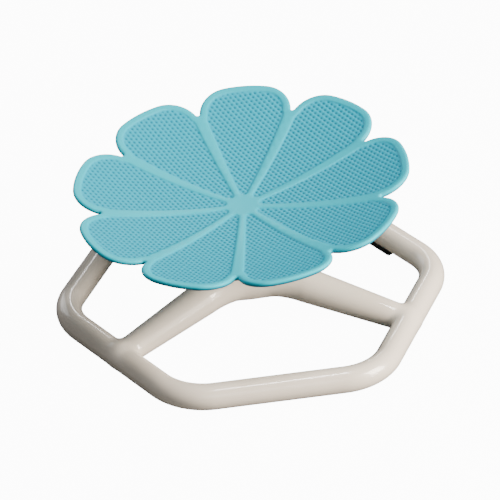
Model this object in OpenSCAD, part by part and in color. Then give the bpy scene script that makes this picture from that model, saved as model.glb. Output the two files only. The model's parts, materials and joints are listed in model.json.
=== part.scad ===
// A low swivel stool: a flower-shaped dished seat turns on a leaning spindle,
// carried by three tapered arms inside a six-sided ring of bent tube.
// Millimetres. +Z is up, the floor is z = 0 and the origin is under the ring's centre.
// The front of the stool, the seat's low side, is towards -Y.

/* [Base ring] */
// Radius from the centre to a corner of the ring's centreline
ring_r = 236; // [230:1:242]
// Outside diameter of the ring's tube
tube_d = 32; // [30:0.5:34]
// Wall thickness of the ring's tube
tube_wall = 2; // [1.5:0.25:3]
// Radius of each bend, measured on the tube's centreline
bend_r = 70; // [60:1:80]
// Gap between the floor and the underside of the tube
floor_gap = 3; // [2:0.5:5]

/* [Arms and hub] */
// Height of the point where the arms meet, above the ring's centreline
arm_rise = 37; // [32:1:42]
// Diameter of an arm where it joins the hub
arm_hub_d = 43; // [42:0.5:45]
// Diameter of an arm where it meets the ring
arm_end_d = 31; // [29:0.5:31.5]
// Wall thickness of an arm
arm_wall = 3; // [2:0.5:4]
// Distance from the centre to the joint between hub and arm
arm_start = 75; // [74:1:80]
// Radius of the hollow curve between two arms
web_r = 98; // [92:1:100]
// Thickness of the web between two arms
web_t = 26; // [20:1:32]
// Outside diameter of the bearing housing
housing_d = 64; // [62:1:68]
// Radius of the flat cut under the hub, where the cap seats
spot_face_r = 33; // [32:0.5:36]

/* [Swivel] */
// Lean of the spindle from the vertical, towards the front
seat_lean = 4.75; // [0:0.25:8]
// Bore of both ball bearings
bearing_bore = 25; // [25]
// Outside diameter of both ball bearings
bearing_od = 52; // [52]
// Width of both ball bearings
bearing_w = 15; // [15]
// Balls in each bearing
ball_count = 9; // [7:1:10]
// Diameter of the steel flange under the seat
flange_d = 140; // [130:1:150]
// Circle of the screws that hold the seat to the flange
screw_pcd = 110; // [100:1:116]
// Screws that hold the seat to the flange
screw_count = 6; // [4:1:8]

/* [Seat] */
// Number of petals
petals = 9; // [9]
// Radius from the seat's centre to a petal's tip
seat_r = 205; // [200:1:210]
// Radius of the curve across a petal's tip
tip_curve_r = 129; // [125:1:150]
// Radius of each shoulder of a petal
shoulder_r = 38; // [36:0.5:40]
// Distance of a shoulder's centre from the seat's centre, along the petal
shoulder_x = 165; // [163:0.5:167]
// Radius of the ball whose surface the dished seat follows
dish_r = 615; // [600:1:700]
// Height of the middle of the seat above the point where the arms meet
seat_height = 93.5; // [88:0.5:98]
// Thickness of the seat's skin
seat_wall = 4.5; // [4:0.5:5]
// Depth of the lip round the seat's edge
lip_depth = 8; // [7:0.5:10]
// Angle of the first petal from +X with the stool standing at rest
seat_turn = 18.6; // [0:0.1:40]
// Width of the smooth border round a petal's patterned field
field_border = 10; // [8:0.5:12]
// Width of the smooth vein between two petals, at the hub
vein_w = 10; // [5:0.5:12]
// Depth of a patterned field below the smooth border
field_depth = 0.8; // [0.5:0.1:1.2]
// Radius of the smooth middle of the seat
middle_r = 19; // [16:1:24]

/* [Foot pads] */
// Length of a foot pad
pad_l = 76; // [60:1:90]
// How far a pad reaches inwards from the tube's centreline
pad_in = 13; // [10:0.5:14]
// How far a pad reaches outwards from the tube's centreline
pad_out = 3; // [2:0.5:4]
// Distance between the two screws of a pad
pad_screw_gap = 50; // [40:1:60]

/* [Hidden] */
$fn = 96;

cream = [0.87, 0.84, 0.79];
teal = [0.36, 0.70, 0.76];
black = [0.05, 0.05, 0.05];
steel = [0.70, 0.71, 0.73];
brass = [0.78, 0.64, 0.35];
eps = 0.01;
far = 600;

// Ring and arms
half_side = 30;
ring_z = floor_gap + tube_d / 2;
side_r = ring_r * cos(half_side);
side_l = ring_r - 2 * bend_r * tan(half_side);
arm_angles = [270, 30, 150];
rear_angle = 90;
meet_z = ring_z + arm_rise;
arm_l = norm([side_r, arm_rise]);
arm_drop = atan(arm_rise / side_r);
arm_taper = (arm_hub_d - arm_end_d) / 2 / (arm_l - arm_start);
spigot_l = 12;
spigot_play = 0.1;
vent_d = 8;

// The plane through two neighbouring arms slopes down by web_drop along the line half way
// between them, and the arms stand web_half degrees either side of that line
web_drop = atan(sin(arm_drop) / (cos(arm_drop) * cos(60)));
web_half = acos(sqrt(pow(cos(arm_drop) * cos(60), 2) + pow(sin(arm_drop), 2)));
web_bite = 2;
web_centre = (web_r + arm_hub_d / 2) / sin(web_half);

// Heights along the spindle, from the point where the arms meet
housing_top = 64;
housing_bottom = -22;
upper_bearing = 46;
lower_bearing = -10;
ring_groove = upper_bearing + bearing_w;
retaining_t = 1.6;
flange_bottom = 72;
flange_t = 4;
flange_top = flange_bottom + flange_t;
collar_r = 16;
spindle_r = bearing_bore / 2;
thread_r = 10;
washer_t = 3;
nut_t = 10;
nut_flats = 30;
thread_end = lower_bearing - washer_t - nut_t - 1;
fit_gap = 0.03;

// Ball bearings
ball_d = 7.94;
ball_circle_r = (bearing_bore + bearing_od) / 4;
groove_gap = 0.06;
race_inner_r = ball_circle_r - 2.4;
race_outer_r = ball_circle_r + 2.4;
cage_t = 2.6;
cage_w = 9;

// Seat
petal_step = 360 / petals;
shoulder_y = sqrt(pow(tip_curve_r - shoulder_r, 2) - pow(shoulder_x - (seat_r - tip_curve_r), 2));
tip_x = seat_r - tip_curve_r;
// Half a degree past the point where the two curves touch, so that they cross cleanly
tip_half = atan(shoulder_y / (shoulder_x - tip_x)) + 0.5;
notch_r = 171;
lip_w = 5;
rib_t = 3;
rib_hub_depth = 13;
rib_ball_r = 500;
boss_r = 8;
insert_r = 4;
insert_l = 10;
screw_r = 3;

// Foot pads
pad_top = 10;
pad_corner = 3;
pad_head_r = 3.8;
pad_head_t = 1.5;
pad_screw_r = 2;
pad_screw_l = 7;
pad_screw_s = -2;
pad_head_z = 1;

// --- placing ---

// Moves a part from the spindle's own frame to where the spindle stands
module on_spindle() {
    translate([0, 0, meet_z]) rotate([seat_lean, 0, 0]) children();
}

// Lays a part out along an arm: its +Z runs from the hub to the ring
module along_arm(angle) {
    translate([0, 0, meet_z]) rotate([0, 0, angle]) rotate([0, 90 + arm_drop, 0]) children();
}

// Places a part on the middle of a side: +X points outwards and +Y runs along the tube
module on_side(angle) {
    rotate([0, 0, angle]) translate([side_r, 0, 0]) children();
}

// A hollow round, standing on z = 0
module sleeve(outer, inner, height) {
    linear_extrude(height) difference() {
        circle(outer);
        circle(inner);
    }
}

// --- ring ---

module side_rod(r) {
    rotate([90, 0, 0]) cylinder(h = side_l, r = r, center = true);
}

module tube_section() {
    difference() {
        circle(tube_d / 2);
        circle(tube_d / 2 - tube_wall);
    }
}

// A straight rail of the ring, with the holes that its pad's screws and its arm need
module rail(angle, has_pad, has_arm) {
    color(cream) difference() {
        translate([0, 0, ring_z]) on_side(angle) rotate([90, 0, 0])
            linear_extrude(side_l, center = true) tube_section();
        if (has_arm) {
            translate([0, 0, ring_z]) on_side(angle) rotate([0, -90, 0])
                cylinder(h = tube_d, d = vent_d);
        }
        if (has_pad) {
            on_side(angle) each_screw_of_pad() cylinder(h = ring_z, r = pad_screw_r + spigot_play);
        }
    }
}

// A sixty-degree bend of the ring, welded between two rails
module bend(angle) {
    color(cream) translate([0, 0, ring_z]) rotate([0, 0, angle])
        translate([ring_r - bend_r / cos(half_side), 0, 0]) rotate([0, 0, -half_side])
            rotate_extrude(angle = 2 * half_side) translate([bend_r, 0]) tube_section();
}

module rail_front() {
    rail(270, true, true);
}

module rail_front_right() {
    rail(330, false, false);
}

module rail_rear_right() {
    rail(30, true, true);
}

module rail_rear() {
    rail(rear_angle, true, false);
}

module rail_rear_left() {
    rail(150, true, true);
}

module rail_front_left() {
    rail(210, false, false);
}

module bend_right() {
    bend(0);
}

module bend_rear_right() {
    bend(60);
}

module bend_rear_left() {
    bend(120);
}

module bend_left() {
    bend(180);
}

module bend_front_left() {
    bend(240);
}

module bend_front_right() {
    bend(300);
}

// --- arms and hub ---

// The tapered rod that an arm is cut from, starting past the joint and thinner by the given amounts
module arm_cone(past, shrink) {
    translate([0, 0, arm_start + past]) cylinder(
        h = arm_l - arm_start - past,
        r1 = arm_hub_d / 2 - shrink - past * arm_taper,
        r2 = arm_end_d / 2 - shrink
    );
}

module arm(angle) {
    color(cream) difference() {
        along_arm(angle) union() {
            arm_cone(0, 0);
            translate([0, 0, arm_start - spigot_l])
                cylinder(h = spigot_l + 1, r = arm_hub_d / 2 - arm_wall - spigot_play);
        }
        along_arm(angle) union() {
            arm_cone(5, arm_wall);
            translate([0, 0, arm_start - spigot_l - 1])
                cylinder(h = spigot_l + 8, r = arm_hub_d / 2 - 2 * arm_wall);
        }
        translate([0, 0, ring_z]) on_side(angle) side_rod(tube_d / 2);
    }
}

module arm_front() {
    arm(arm_angles[0]);
}

module arm_right() {
    arm(arm_angles[1]);
}

module arm_left() {
    arm(arm_angles[2]);
}

// The web that joins two neighbouring arms with one hollow curve
module web(angle) {
    reach = web_centre * cos(web_half);
    side = [reach * cos(web_half), reach * sin(web_half)];
    translate([0, 0, meet_z]) rotate([0, 0, angle]) rotate([0, web_drop, 0])
        linear_extrude(web_t, center = true) difference() {
            polygon([[0, 0], side, [side[0], -side[1]]]);
            translate([web_centre, 0]) circle(web_r + web_bite);
        }
}

module hub_casting() {
    color(cream) difference() {
        union() {
            for (a = arm_angles) {
                along_arm(a) cylinder(h = arm_start, d = arm_hub_d);
                web(a + 60);
            }
            on_spindle() translate([0, 0, housing_bottom])
                cylinder(h = housing_top - housing_bottom, d = housing_d);
        }
        for (a = arm_angles) {
            along_arm(a) translate([0, 0, housing_d / 2 + 6])
                cylinder(h = arm_start, r = arm_hub_d / 2 - arm_wall);
        }
        on_spindle() union() {
            translate([0, 0, housing_bottom - 1]) cylinder(h = housing_top - housing_bottom + 2, r = 22);
            translate([0, 0, upper_bearing]) cylinder(h = far, d = bearing_od);
            translate([0, 0, ring_groove]) cylinder(h = retaining_t, d = bearing_od + 3);
            translate([0, 0, lower_bearing + bearing_w - far]) cylinder(h = far, d = bearing_od);
            translate([0, 0, housing_bottom - far]) cylinder(h = far, r = spot_face_r);
        }
    }
}

// --- foot pads ---

module pad(angle) {
    color(black) difference() {
        on_side(angle) translate([0, 0, 0]) linear_extrude(pad_top) pad_plan();
        translate([0, 0, ring_z]) on_side(angle) side_rod(tube_d / 2);
        if (angle != rear_angle) along_arm(angle) arm_cone(0, 0);
        on_side(angle) each_screw_of_pad() union() {
            translate([0, 0, -1]) cylinder(h = 1 + pad_head_z + pad_head_t, r = pad_head_r + spigot_play);
            cylinder(h = pad_top, r = pad_screw_r + spigot_play);
        }
    }
}

module pad_plan() {
    for (s = [-1, 1]) {
        for (x = [-pad_in + pad_corner, pad_out - pad_corner]) {
            translate([x, s * (pad_l / 2 - pad_corner)]) circle(pad_corner);
        }
    }
    translate([-pad_in, -pad_l / 2 + pad_corner]) square([pad_in + pad_out, pad_l - 2 * pad_corner]);
    translate([-pad_in + pad_corner, -pad_l / 2]) square([pad_in + pad_out - 2 * pad_corner, pad_l]);
}

module each_screw_of_pad() {
    for (s = [-1, 1]) {
        translate([pad_screw_s, s * pad_screw_gap / 2, 0]) children();
    }
}

module each_pad_screw() {
    for (a = concat(arm_angles, [rear_angle])) {
        on_side(a) each_screw_of_pad() children();
    }
}

module foot_pad_front() {
    pad(arm_angles[0]);
}

module foot_pad_right() {
    pad(arm_angles[1]);
}

module foot_pad_left() {
    pad(arm_angles[2]);
}

module foot_pad_rear() {
    pad(rear_angle);
}

module pad_screws() {
    color(steel) each_pad_screw() union() {
        translate([0, 0, pad_head_z]) cylinder(h = pad_head_t, r = pad_head_r);
        translate([0, 0, pad_head_z + pad_head_t - eps]) cylinder(h = pad_screw_l, r = pad_screw_r);
    }
}

// --- ball bearings ---

module groove() {
    rotate_extrude() translate([ball_circle_r, bearing_w / 2]) circle(d = ball_d + 2 * groove_gap);
}

module outer_race(base) {
    color(steel) on_spindle() translate([0, 0, base]) difference() {
        sleeve(bearing_od / 2 - fit_gap, race_outer_r, bearing_w);
        groove();
    }
}

module inner_race(base) {
    color(steel) on_spindle() translate([0, 0, base]) difference() {
        sleeve(race_inner_r, spindle_r + fit_gap, bearing_w);
        groove();
    }
}

module each_ball() {
    for (k = [0 : ball_count - 1]) {
        rotate([0, 0, k * 360 / ball_count]) translate([ball_circle_r, 0, bearing_w / 2]) children();
    }
}

module balls(base) {
    color(steel) on_spindle() translate([0, 0, base]) each_ball() sphere(d = ball_d);
}

module cage(base) {
    color(brass) on_spindle() translate([0, 0, base]) difference() {
        translate([0, 0, (bearing_w - cage_w) / 2])
            sleeve(ball_circle_r + cage_t / 2, ball_circle_r - cage_t / 2, cage_w);
        each_ball() rotate([0, 90, 0]) cylinder(h = cage_t + 4, d = ball_d + 2 * groove_gap, center = true);
    }
}

module upper_outer_race() {
    outer_race(upper_bearing);
}

module upper_balls() {
    balls(upper_bearing);
}

module upper_cage() {
    cage(upper_bearing);
}

module upper_inner_race() {
    inner_race(upper_bearing);
}

module lower_outer_race() {
    outer_race(lower_bearing);
}

module lower_balls() {
    balls(lower_bearing);
}

module lower_cage() {
    cage(lower_bearing);
}

module lower_inner_race() {
    inner_race(lower_bearing);
}

module retaining_ring() {
    color(steel) on_spindle() translate([0, 0, ring_groove + fit_gap]) linear_extrude(retaining_t - 2 * fit_gap)
        difference() {
            circle(d = bearing_od + 2.6);
            circle(d = bearing_od - 5);
            translate([0, -3]) square([bearing_od, 6]);
        }
}

// --- spindle ---

module race_spacer() {
    color(steel) on_spindle() translate([0, 0, lower_bearing + bearing_w + fit_gap])
        sleeve(collar_r, spindle_r + 2 * fit_gap, upper_bearing - lower_bearing - bearing_w - 2 * fit_gap);
}

module spindle() {
    color(steel) on_spindle() union() {
        translate([0, 0, lower_bearing]) cylinder(h = flange_bottom - lower_bearing, r = spindle_r);
        translate([0, 0, ring_groove]) cylinder(h = flange_bottom - ring_groove, r = collar_r);
        translate([0, 0, thread_end]) cylinder(h = lower_bearing - thread_end + 1, r = thread_r);
    }
}

module spindle_washer() {
    color(steel) on_spindle() translate([0, 0, lower_bearing - washer_t])
        sleeve(18, thread_r + 5 * fit_gap, washer_t - fit_gap);
}

module spindle_nut() {
    color(steel) on_spindle() translate([0, 0, lower_bearing - washer_t - nut_t])
        linear_extrude(nut_t - fit_gap) difference() {
            circle(nut_flats / 2 / cos(30), $fn = 6);
            circle(thread_r + fit_gap);
        }
}

module bottom_cap() {
    color(black) on_spindle() translate([0, 0, housing_bottom]) union() {
        sleeve(bearing_od / 2 - 0.1, bearing_od / 2 - 2, 4);
        translate([0, 0, -2]) sleeve(31, 20, 2 - fit_gap);
        translate([0, 0, -6]) sleeve(22, 20, 5);
        translate([0, 0, -6]) cylinder(h = 2, r = 21);
        translate([0, 0, -1]) sleeve(bearing_od / 2 - 0.1, bearing_od / 2 - 2, 2);
    }
}

module dust_seal() {
    color(black) on_spindle() translate([0, 0, housing_top + 0.4]) union() {
        sleeve(20, collar_r + fit_gap, flange_bottom - housing_top - 0.6);
        sleeve(27, collar_r + 1, 2);
    }
}

// --- flange and its fastenings ---

module each_flange_screw() {
    for (k = [0 : screw_count - 1]) {
        rotate([0, 0, k * 360 / screw_count]) translate([screw_pcd / 2, 0, 0]) children();
    }
}

module flange_plate() {
    color(steel) on_spindle() difference() {
        translate([0, 0, flange_bottom]) cylinder(h = flange_t, d = flange_d);
        each_flange_screw() translate([0, 0, flange_bottom - 1])
            cylinder(h = flange_t + 2, r = screw_r + 0.3);
        for (k = [0 : screw_count - 1]) {
            rotate([0, 0, (k + 0.5) * 360 / screw_count]) translate([38, 0, flange_bottom - 1])
                cylinder(h = flange_t + 2, r = 9);
        }
    }
}

module flange_washers() {
    color(steel) on_spindle() each_flange_screw() translate([0, 0, flange_bottom - 1.5 - fit_gap])
        sleeve(6.5, screw_r + 0.2, 1.5);
}

module flange_screws() {
    color(steel) on_spindle() each_flange_screw() union() {
        translate([0, 0, flange_bottom - 1.5 - 4 - 2 * fit_gap]) cylinder(h = 4, r = 10 / 2 / cos(30), $fn = 6);
        translate([0, 0, flange_bottom - 1.5 - 1]) cylinder(h = 14, r = screw_r);
    }
}

module seat_inserts() {
    color(brass) on_spindle() each_flange_screw() translate([0, 0, flange_top + 0.2])
        sleeve(insert_r, screw_r + fit_gap, insert_l);
}

// --- seat ---

// The seat's outline pulled in by the given amount
module flower(inset) {
    circle(notch_r - inset);
    for (k = [0 : petals - 1]) {
        rotate([0, 0, k * petal_step]) petal_end(inset);
    }
}

module petal_end(inset) {
    for (s = [-1, 1]) {
        translate([shoulder_x, s * shoulder_y]) circle(shoulder_r - inset);
    }
    intersection() {
        translate([tip_x, 0]) circle(tip_curve_r - inset, $fn = 360);
        polygon([
            [tip_x, 0],
            [tip_x + far, far * tan(tip_half)],
            [tip_x + far, -far * tan(tip_half)]
        ]);
    }
}

// The ball that the sitting surface follows, grown by a depth below that surface
module dish_ball(depth) {
    translate([0, 0, seat_height + dish_r]) rotate([90, 0, 0]) sphere(dish_r + depth, $fn = 180);
}

module tall() {
    linear_extrude(seat_height + lip_depth + 60) children();
}

// One patterned field: a petal less its border and its half of the two veins
module field_plan() {
    half = petal_step / 2;
    intersection() {
        union() {
            petal_end(field_border);
            circle(notch_r - field_border / 2);
        }
        polygon([
            [vein_w / 2 / sin(half), 0],
            [far * cos(half) + vein_w / 2 * sin(half), far * sin(half) - vein_w / 2 * cos(half)],
            [far * cos(half) + vein_w / 2 * sin(half), -far * sin(half) + vein_w / 2 * cos(half)]
        ]);
        translate([middle_r, -far / 2]) square(far);
    }
}

module seat_ribs() {
    for (k = [0 : 2 * petals - 1]) {
        reach = k % 2 == 0 ? seat_r - lip_w + 1.5 : notch_r - lip_w + 1.5;
        rotate([0, 0, k * petal_step / 2]) translate([30, -rib_t / 2]) square([reach - 30, rib_t]);
    }
    for (r = [30, 76, 122]) {
        difference() {
            circle(r + rib_t / 2);
            circle(r - rib_t / 2);
        }
    }
}

module seat_skin() {
    difference() {
        intersection() {
            tall() flower(0);
            dish_ball(lip_depth);
        }
        dish_ball(0);
        difference() {
            tall() flower(lip_w);
            dish_ball(seat_wall);
        }
        for (k = [0 : petals - 1]) {
            rotate([0, 0, k * petal_step]) intersection() {
                tall() field_plan();
                dish_ball(field_depth);
            }
        }
    }
}

// The ribs stand deepest at the hub and run out into the lip
module seat_rib_web() {
    difference() {
        intersection() {
            tall() seat_ribs();
            translate([0, 0, seat_height - rib_hub_depth + rib_ball_r]) rotate([90, 0, 0])
                sphere(rib_ball_r, $fn = 180);
        }
        dish_ball(seat_wall - 1);
    }
}

module seat_shell() {
    color(teal) on_spindle() difference() {
        union() {
            rotate([0, 0, seat_turn]) seat_skin();
            rotate([0, 0, seat_turn]) seat_rib_web();
            each_flange_screw() translate([0, 0, flange_top])
                cylinder(h = seat_height - flange_top + 2, r = boss_r);
        }
        each_flange_screw() translate([0, 0, flange_top - 1])
            cylinder(h = insert_l + 1.4, r = insert_r);
    }
}

rail_front();
rail_front_right();
rail_rear_right();
rail_rear();
rail_rear_left();
rail_front_left();
bend_right();
bend_rear_right();
bend_rear_left();
bend_left();
bend_front_left();
bend_front_right();
hub_casting();
arm_front();
arm_right();
arm_left();
foot_pad_front();
foot_pad_right();
foot_pad_left();
foot_pad_rear();
pad_screws();
upper_outer_race();
upper_balls();
upper_cage();
upper_inner_race();
lower_outer_race();
lower_balls();
lower_cage();
lower_inner_race();
retaining_ring();
race_spacer();
spindle();
spindle_washer();
spindle_nut();
bottom_cap();
dust_seal();
flange_plate();
flange_screws();
flange_washers();
seat_inserts();
seat_shell();
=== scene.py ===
import json
import math
import bpy
import bmesh
import numpy as np
from mathutils import Matrix, Vector, geometry


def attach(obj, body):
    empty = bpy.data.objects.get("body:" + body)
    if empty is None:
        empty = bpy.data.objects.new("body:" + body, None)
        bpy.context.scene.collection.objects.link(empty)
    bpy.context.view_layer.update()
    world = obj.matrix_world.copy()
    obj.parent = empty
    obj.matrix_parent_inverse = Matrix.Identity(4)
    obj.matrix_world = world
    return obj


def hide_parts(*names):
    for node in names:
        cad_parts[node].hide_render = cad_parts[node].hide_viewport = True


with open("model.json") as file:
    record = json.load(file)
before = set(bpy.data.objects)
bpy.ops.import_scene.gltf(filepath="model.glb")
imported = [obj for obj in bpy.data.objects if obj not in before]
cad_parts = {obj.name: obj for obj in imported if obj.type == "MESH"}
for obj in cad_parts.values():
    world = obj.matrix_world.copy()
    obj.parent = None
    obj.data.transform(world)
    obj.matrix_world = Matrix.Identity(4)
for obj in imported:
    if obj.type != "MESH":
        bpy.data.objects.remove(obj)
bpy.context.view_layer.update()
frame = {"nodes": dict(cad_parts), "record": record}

mm = 0.001


def spinFrame():
    # the seat's own frame: +Z up its spindle, origin where the arms meet
    joint = next(j for j in frame["record"]["behaviour"]["joints"] if j["name"] == "seat_spin")
    lean = math.atan2(-joint["axis"][1], joint["axis"][2])
    return Matrix.Translation(joint["pos_m"]) @ Matrix.Rotation(lean, 4, "X")


spindle = spinFrame()
print("frame loaded, seat leans", round(math.degrees(spindle.to_euler().x), 2), "degrees")


# small helpers for building node trees
def newTree(name, kind, inputs, outputs):
    tree = bpy.data.node_groups.new(name, kind)
    for label, socketType, value in inputs:
        socket = tree.interface.new_socket(name=label, in_out="INPUT", socket_type=socketType)
        if value is not None:
            socket.default_value = value
    for label, socketType in outputs:
        tree.interface.new_socket(name=label, in_out="OUTPUT", socket_type=socketType)
    return tree, tree.nodes.new("NodeGroupInput").outputs, tree.nodes.new("NodeGroupOutput").inputs


def put(tree, socket, value):
    if isinstance(value, bpy.types.NodeSocket):
        tree.links.new(value, socket)
    elif value is not None:
        socket.default_value = value


def node(tree, kind, values=None, **settings):
    made = tree.nodes.new(kind)
    for key, value in settings.items():
        setattr(made, key, value)
    for key, value in (values or {}).items():
        put(tree, made.inputs[key], value)
    return made


def calc(tree, operation, a, b=None, c=None):
    made = tree.nodes.new("ShaderNodeMath")
    made.operation = operation
    for socket, value in zip(made.inputs, (a, b, c)):
        put(tree, socket, value)
    return made.outputs[0]


def vec(tree, operation, a, b=None, scale=None):
    made = tree.nodes.new("ShaderNodeVectorMath")
    made.operation = operation
    put(tree, made.inputs[0], a)
    put(tree, made.inputs[1], b)
    if scale is not None:
        put(tree, made.inputs["Scale"], scale)
    return made.outputs["Value"] if operation in ("LENGTH", "DOT_PRODUCT") else made.outputs[0]


def ramp(tree, value, low, high, toLow=0.0, toHigh=1.0, style="SMOOTHSTEP"):
    made = node(tree, "ShaderNodeMapRange", interpolation_type=style)
    ends = {"Value": value, "From Min": low, "From Max": high, "To Min": toLow, "To Max": toHigh}
    for key, number in ends.items():
        put(tree, made.inputs[key], number)
    return made.outputs["Result"]


def closeTree(tree, mesh, material, output):
    whole = node(tree, "GeometryNodeRealizeInstances", {"Geometry": mesh})
    painted = node(tree, "GeometryNodeSetMaterial", {"Geometry": whole.outputs[0], "Material": material})
    put(tree, output, painted.outputs[0])


def addObject(name, mesh):
    made = bpy.data.objects.new(name, mesh)
    bpy.context.scene.collection.objects.link(made)
    return made


def runTree(source, tree, values, name):
    # applies the tree and leaves a plain mesh in a fresh object
    modifier = source.modifiers.new("tree", "NODES")
    modifier.node_group = tree
    for item in tree.interface.items_tree:
        if item.in_out == "INPUT" and item.name in values:
            modifier[item.identifier] = values[item.name]
    graph = bpy.context.evaluated_depsgraph_get()
    mesh = bpy.data.meshes.new_from_object(source.evaluated_get(graph))
    source.modifiers.clear()
    bpy.data.objects.remove(source)
    mesh.name = name
    return addObject(name, mesh)


def meshFrom(name, points, faces):
    mesh = bpy.data.meshes.new(name)
    mesh.from_pydata([tuple(p) for p in points], [], [tuple(int(i) for i in f) for f in faces])
    mesh.update()
    return mesh


def joinMeshes(parts):
    points = []
    faces = []
    for partPoints, partFaces in parts:
        start = len(points)
        points.extend(tuple(float(v) for v in p) for p in partPoints)
        faces.extend(tuple(int(i) + start for i in f) for f in partFaces)
    return points, faces


def tidyMesh(mesh, gap=1e-6, outward=True):
    work = bmesh.new()
    work.from_mesh(mesh)
    bmesh.ops.remove_doubles(work, verts=work.verts, dist=gap)
    if outward:
        bmesh.ops.recalc_face_normals(work, faces=work.faces)
    work.to_mesh(mesh)
    work.free()
    mesh.update()


# shader groups that several materials share
def grainGroup():
    tree, given, result = newTree("fineGrain", "ShaderNodeTree", [
        ("Scale", "NodeSocketFloat", 400.0),
        ("Roughness", "NodeSocketFloat", 0.35),
        ("Spread", "NodeSocketFloat", 0.05),
    ], [("Roughness", "NodeSocketFloat"), ("Height", "NodeSocketFloat"), ("Cloud", "NodeSocketFloat")])
    place = node(tree, "ShaderNodeTexCoord").outputs["Object"]
    fine = node(tree, "ShaderNodeTexNoise", {"Vector": place, "Scale": given["Scale"], "Detail": 3.0})
    cloud = node(tree, "ShaderNodeTexNoise", {"Vector": place, "Scale": 14.0, "Detail": 4.0})
    shift = calc(tree, "SUBTRACT", cloud.outputs["Fac"], 0.5)
    put(tree, result["Roughness"], calc(tree, "MULTIPLY_ADD", shift, given["Spread"], given["Roughness"]))
    put(tree, result["Height"], fine.outputs["Fac"])
    put(tree, result["Cloud"], cloud.outputs["Fac"])
    return tree


def mixColour(tree, amount, first, second):
    made = node(tree, "ShaderNodeMix", data_type="RGBA")
    put(tree, made.inputs[0], amount)
    put(tree, made.inputs[6], first)
    put(tree, made.inputs[7], second)
    return made.outputs[2]


def wearGroup():
    # edges that show a second colour where they are rubbed
    tree, given, result = newTree("rubbedEdges", "ShaderNodeTree", [
        ("Base", "NodeSocketColor", (0.5, 0.5, 0.5, 1)),
        ("Rubbed", "NodeSocketColor", (0.8, 0.8, 0.8, 1)),
        ("Amount", "NodeSocketFloat", 0.4),
    ], [("Color", "NodeSocketColor"), ("Mask", "NodeSocketFloat")])
    point = node(tree, "ShaderNodeNewGeometry").outputs["Pointiness"]
    edge = ramp(tree, point, 0.51, 0.56)
    noise = node(tree, "ShaderNodeTexNoise", {
        "Vector": node(tree, "ShaderNodeTexCoord").outputs["Object"], "Scale": 90.0, "Detail": 3.0})
    broken = calc(tree, "MULTIPLY", edge, ramp(tree, noise.outputs["Fac"], 0.42, 0.6))
    mask = calc(tree, "MULTIPLY", broken, given["Amount"])
    put(tree, result["Color"], mixColour(tree, mask, given["Base"], given["Rubbed"]))
    put(tree, result["Mask"], mask)
    return tree


grain = grainGroup()
wear = wearGroup()


def useGroup(tree, group, values):
    made = node(tree, "ShaderNodeGroup", node_tree=group)
    for key, value in values.items():
        put(tree, made.inputs[key], value)
    return made


def startMaterial(name, settings):
    material = bpy.data.materials.new(name)
    material.use_nodes = True
    fine = useGroup(material.node_tree, grain, {
        "Scale": settings["grain"], "Roughness": settings["rough"], "Spread": settings["spread"]})
    return material, material.node_tree, fine


def finishMaterial(tree, fine, color, settings):
    # worn edges over the colour, the fine bump, and the plain shader sockets
    shader = tree.nodes["Principled BSDF"]
    edges = useGroup(tree, wear, {
        "Base": color, "Rubbed": (*settings["rubbed"], 1), "Amount": settings["wear"]})
    put(tree, shader.inputs["Base Color"], edges.outputs["Color"])
    put(tree, shader.inputs["Roughness"], fine.outputs["Roughness"])
    bump = node(tree, "ShaderNodeBump", {"Height": fine.outputs["Height"]})
    bump.inputs["Strength"].default_value = settings["bump"]
    bump.inputs["Distance"].default_value = settings.get("bumpDepth", 0.3) * mm
    put(tree, shader.inputs["Normal"], bump.outputs["Normal"])
    for key, value in settings.get("shader", {}).items():
        shader.inputs[key].default_value = value


def newMaterial(name, settings):
    material, tree, fine = startMaterial(name, settings)
    darker = [c * settings["mottle"] for c in settings["color"]]
    cloud = ramp(tree, fine.outputs["Cloud"], 0.3, 0.7)
    tint = mixColour(tree, cloud, (*settings["color"], 1), (*darker, 1))
    finishMaterial(tree, fine, tint, settings)
    return material


creamPaint = newMaterial("creamPaint", {
    "color": (0.80, 0.72, 0.62), "rough": 0.24, "spread": 0.08, "grain": 260.0, "bump": 0.05,
    "mottle": 0.97, "rubbed": (0.80, 0.78, 0.74), "wear": 0.2,
    "shader": {"Coat Weight": 0.6, "Coat Roughness": 0.07, "Specular IOR Level": 0.5}})
blackRubber = newMaterial("blackRubber", {
    "color": (0.006, 0.006, 0.006), "rough": 0.55, "spread": 0.15, "grain": 900.0, "bump": 0.3,
    "mottle": 1.4, "rubbed": (0.03, 0.03, 0.03), "wear": 0.4, "shader": {"Specular IOR Level": 0.25}})
blackPlastic = newMaterial("blackPlastic", {
    "color": (0.022, 0.022, 0.023), "rough": 0.42, "spread": 0.1, "grain": 700.0, "bump": 0.15,
    "mottle": 1.3, "rubbed": (0.07, 0.07, 0.07), "wear": 0.4})
turnedSteel = newMaterial("turnedSteel", {
    "color": (0.56, 0.57, 0.58), "rough": 0.32, "spread": 0.15, "grain": 1200.0, "bump": 0.08,
    "mottle": 0.85, "rubbed": (0.8, 0.8, 0.8), "wear": 0.5, "shader": {"Metallic": 1.0}})
zincSteel = newMaterial("zincSteel", {
    "color": (0.60, 0.62, 0.64), "rough": 0.26, "spread": 0.2, "grain": 500.0, "bump": 0.1,
    "mottle": 0.8, "rubbed": (0.85, 0.85, 0.85), "wear": 0.6, "shader": {"Metallic": 1.0}})
bearingSteel = newMaterial("bearingSteel", {
    "color": (0.66, 0.67, 0.69), "rough": 0.12, "spread": 0.05, "grain": 1500.0, "bump": 0.03,
    "mottle": 0.93, "rubbed": (0.8, 0.8, 0.8), "wear": 0.3, "shader": {"Metallic": 1.0}})
turnedBrass = newMaterial("turnedBrass", {
    "color": (0.72, 0.52, 0.22), "rough": 0.3, "spread": 0.15, "grain": 1000.0, "bump": 0.08,
    "mottle": 0.8, "rubbed": (0.9, 0.75, 0.4), "wear": 0.5, "shader": {"Metallic": 1.0}})


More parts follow.
